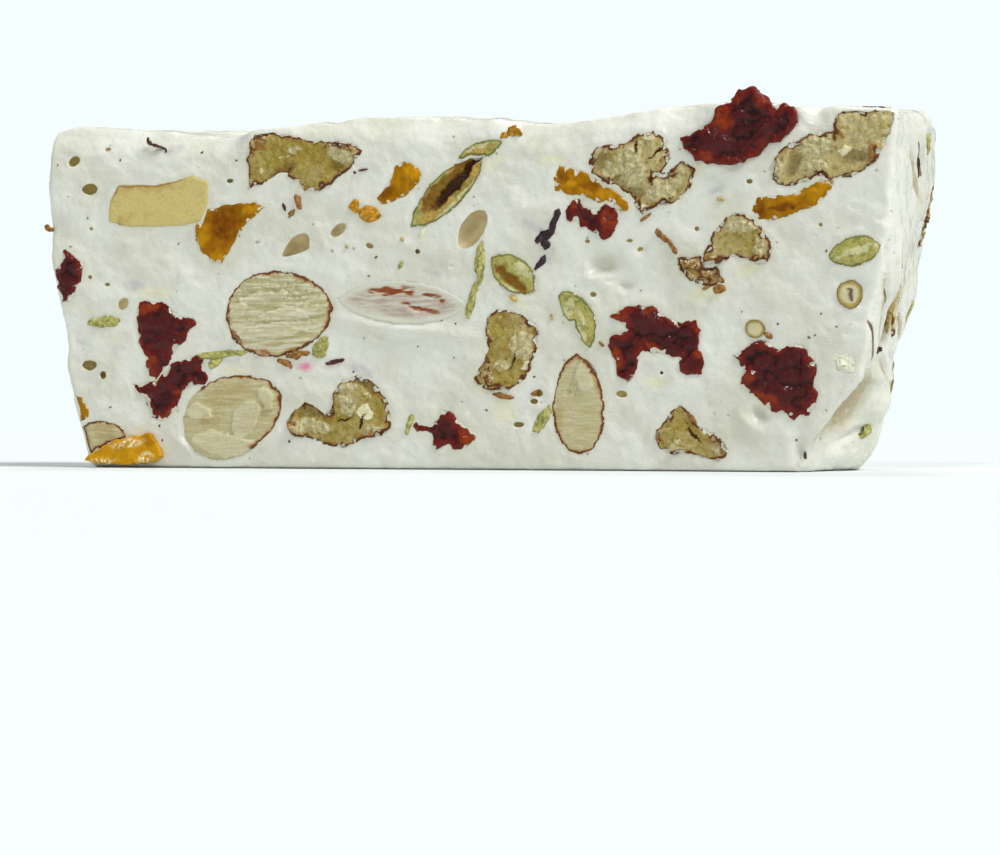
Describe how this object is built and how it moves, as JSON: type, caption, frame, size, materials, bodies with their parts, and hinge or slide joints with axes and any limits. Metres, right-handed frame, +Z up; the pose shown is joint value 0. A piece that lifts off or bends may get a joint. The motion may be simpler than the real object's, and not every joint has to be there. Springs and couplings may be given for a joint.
{
  "type": "nougat bar",
  "caption": "Cut bar of soft white nougat with almonds, pecans, cashews, cranberries, apricots and pumpkin seeds showing on every side.",
  "frame": {"origin": "middle of the bar's footprint, on the flat base", "axes": "+X along the bar, towards the end with the lump at its foot; -Y faces the cut front; +Z up"},
  "size_m": [0.1342, 0.0356, 0.0527],
  "materials": {
    "nougat": "satin, soft and slightly sticky",
    "almond": "dry fibrous cut face with a thin brown skin",
    "pecan": "oily crumbly cut face with a brown skin",
    "cashew": "smooth dry cut face",
    "cranberry": "glossy wrinkled dark red",
    "apricot": "glossy translucent amber",
    "seed": "dry green skin"
  },
  "bodies": {
    "root": {"nougat": "nougat", "almond_a": "almond", "almond_b": "almond", "almond_c": "almond", "almond_d": "almond", "almond_e": "almond", "almond_back_a": "almond", "almond_back_b": "almond", "almond_back_c": "almond", "almond_back_d": "almond", "almond_right": "almond", "almond_left": "almond", "almond_top": "almond", "pecan_a": "pecan", "pecan_b": "pecan", "pecan_c": "pecan", "pecan_d": "pecan", "pecan_e": "pecan", "pecan_f": "pecan", "pecan_g": "pecan", "pecan_h": "pecan", "pecan_back_a": "pecan", "pecan_back_b": "pecan", "pecan_back_c": "pecan", "pecan_back_d": "pecan", "pecan_back_e": "pecan", "pecan_right": "pecan", "pecan_left": "pecan", "cashew_a": "cashew", "cashew_back": "cashew", "cashew_back_b": "cashew", "cranberry_a": "cranberry", "cranberry_b": "cranberry", "cranberry_c": "cranberry", "cranberry_d": "cranberry", "cranberry_e": "cranberry", "cranberry_f": "cranberry", "cranberry_g": "cranberry", "cranberry_h": "cranberry", "cranberry_back_a": "cranberry", "cranberry_back_b": "cranberry", "cranberry_back_c": "cranberry", "cranberry_back_d": "cranberry", "cranberry_top": "cranberry", "apricot_a": "apricot", "apricot_b": "apricot", "apricot_d": "apricot", "apricot_e": "apricot", "apricot_f": "apricot", "apricot_back_a": "apricot", "apricot_back_b": "apricot", "orange_peel": "apricot", "seed_a": "seed", "seed_b": "seed", "seed_c": "seed", "seed_e": "seed", "seed_f": "seed", "seed_back_a": "seed", "seed_back_b": "seed", "seed_right": "seed"}
  },
  "joints": []
}
